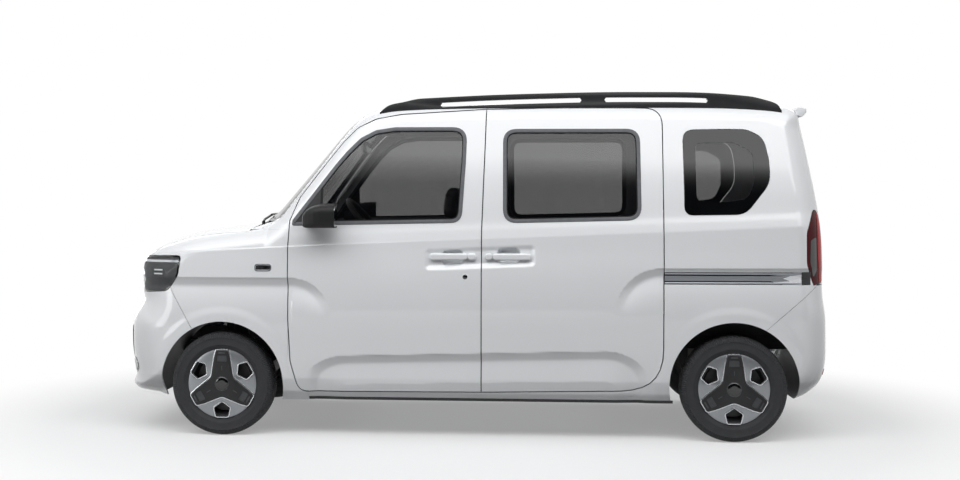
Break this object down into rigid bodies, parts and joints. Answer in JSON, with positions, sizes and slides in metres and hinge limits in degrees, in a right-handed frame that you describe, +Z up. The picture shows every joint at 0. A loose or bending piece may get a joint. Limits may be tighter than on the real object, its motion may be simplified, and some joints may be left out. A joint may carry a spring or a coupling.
{
  "type": "electric micro van",
  "caption": "One-box five-door micro van with hinged front doors, sliding rear doors, bonnet and top-hinged tailgate.",
  "frame": {"origin": "on the ground below the middle of the car's overall box", "axes": "+X forward, +Y to the car's left, +Z up"},
  "size_m": [3.6849, 1.8, 1.766],
  "materials": {
    "body_paint": "white gloss car paint",
    "black_plastic": "grained black moulding",
    "glass": "dark tinted glass",
    "headlamp": "clear lens over a black housing",
    "tail_lamp": "red lens",
    "tyre": "black rubber",
    "wheel_cover": "silver-painted cover with black star",
    "chassis_black": "black underbody coating",
    "roof_rail": "dark satin coating",
    "seat_cloth": "dark grey woven cloth",
    "interior_plastic": "dark grained moulding"
  },
  "bodies": {
    "root": {"floor_pan": "chassis_black", "back_panel": "chassis_black", "body_side_left": "body_paint", "body_side_right": "body_paint", "roof_panel": "body_paint", "fender_left": "body_paint", "fender_right": "body_paint", "front_bumper": "body_paint", "rear_bumper": "body_paint", "cowl_panel": "black_plastic", "windscreen": "glass", "quarter_glass_left": "glass", "quarter_glass_right": "glass", "headlamp_left": "headlamp", "headlamp_right": "headlamp", "tail_lamp_left": "tail_lamp", "tail_lamp_right": "tail_lamp", "roof_rail_left": "roof_rail", "roof_rail_right": "roof_rail", "front_seat_left": "seat_cloth", "front_seat_right": "seat_cloth", "rear_seat": "seat_cloth", "dashboard": "interior_plastic", "front_subframe": "chassis_black", "rear_axle": "chassis_black", "battery_pack": "chassis_black", "sliding_door_left": "body_paint", "sliding_door_right": "body_paint", "sliding_door_glass_left": "glass", "sliding_door_glass_right": "glass"},
    "bonnet": {"bonnet": "body_paint"},
    "tailgate": {"tailgate": "body_paint", "tailgate_glass": "glass"},
    "front_door_left": {"front_door_left": "body_paint", "front_door_glass_left": "glass", "mirror_left": "black_plastic"},
    "steer_left": {"knuckle_left": "chassis_black"},
    "wheel_front_left": {"tyre_front_left": "tyre", "wheel_front_left": "wheel_cover"},
    "wheel_rear_left": {"tyre_rear_left": "tyre", "wheel_rear_left": "wheel_cover"},
    "front_door_right": {"front_door_right": "body_paint", "front_door_glass_right": "glass", "mirror_right": "black_plastic"},
    "steer_right": {"knuckle_right": "chassis_black"},
    "wheel_front_right": {"tyre_front_right": "tyre", "wheel_front_right": "wheel_cover"},
    "wheel_rear_right": {"tyre_rear_right": "tyre", "wheel_rear_right": "wheel_cover"},
    "steering_wheel": {"steering_wheel": "interior_plastic"}
  },
  "joints": [
    {"name": "bonnet_hinge", "type": "hinge", "parent": "root", "child": "bonnet", "pos_m": [1.128, 0, 1.106], "axis": [0, -1, 0], "range_deg": [0, 50]},
    {"name": "tailgate_hinge", "type": "hinge", "parent": "root", "child": "tailgate", "pos_m": [-1.662, 0, 1.712], "axis": [0, 1, 0], "range_deg": [0, 80]},
    {"name": "front_door_left_hinge", "type": "hinge", "parent": "root", "child": "front_door_left", "pos_m": [0.88, 0.744, 0.57], "axis": [0, 0, -1], "range_deg": [0, 65]},
    {"name": "front_door_right_hinge", "type": "hinge", "parent": "root", "child": "front_door_right", "pos_m": [0.88, -0.744, 0.57], "axis": [0, 0, 1], "range_deg": [0, 65]},
    {"name": "steer_left", "type": "hinge", "parent": "root", "child": "steer_left", "pos_m": [1.2675, 0.6, 0.266], "axis": [0, 0, 1], "range_deg": [-33, 33]},
    {"name": "steer_right", "type": "hinge", "parent": "root", "child": "steer_right", "pos_m": [1.2675, -0.6, 0.266], "axis": [0, 0, 1], "range_deg": [-33, 33]},
    {"name": "wheel_front_left_spin", "type": "hinge", "parent": "steer_left", "child": "wheel_front_left", "pos_m": [1.2675, 0.655, 0.266], "axis": [0, 1, 0], "continuous": true},
    {"name": "wheel_front_right_spin", "type": "hinge", "parent": "steer_right", "child": "wheel_front_right", "pos_m": [1.2675, -0.655, 0.266], "axis": [0, 1, 0], "continuous": true},
    {"name": "wheel_rear_left_spin", "type": "hinge", "parent": "root", "child": "wheel_rear_left", "pos_m": [-1.3325, 0.655, 0.266], "axis": [0, 1, 0], "continuous": true},
    {"name": "wheel_rear_right_spin", "type": "hinge", "parent": "root", "child": "wheel_rear_right", "pos_m": [-1.3325, -0.655, 0.266], "axis": [0, 1, 0], "continuous": true},
    {"name": "steering_wheel_turn", "type": "hinge", "parent": "root", "child": "steering_wheel", "pos_m": [0.545, 0.365, 1.07], "axis": [-0.766, 0, 0.6428], "range_deg": [-500, 500]}
  ],
  "couplings": [
    {"joint": "steer_right", "follows": "steer_left", "ratio": 1},
    {"joint": "steering_wheel_turn", "follows": "steer_left", "ratio": 15}
  ]
}
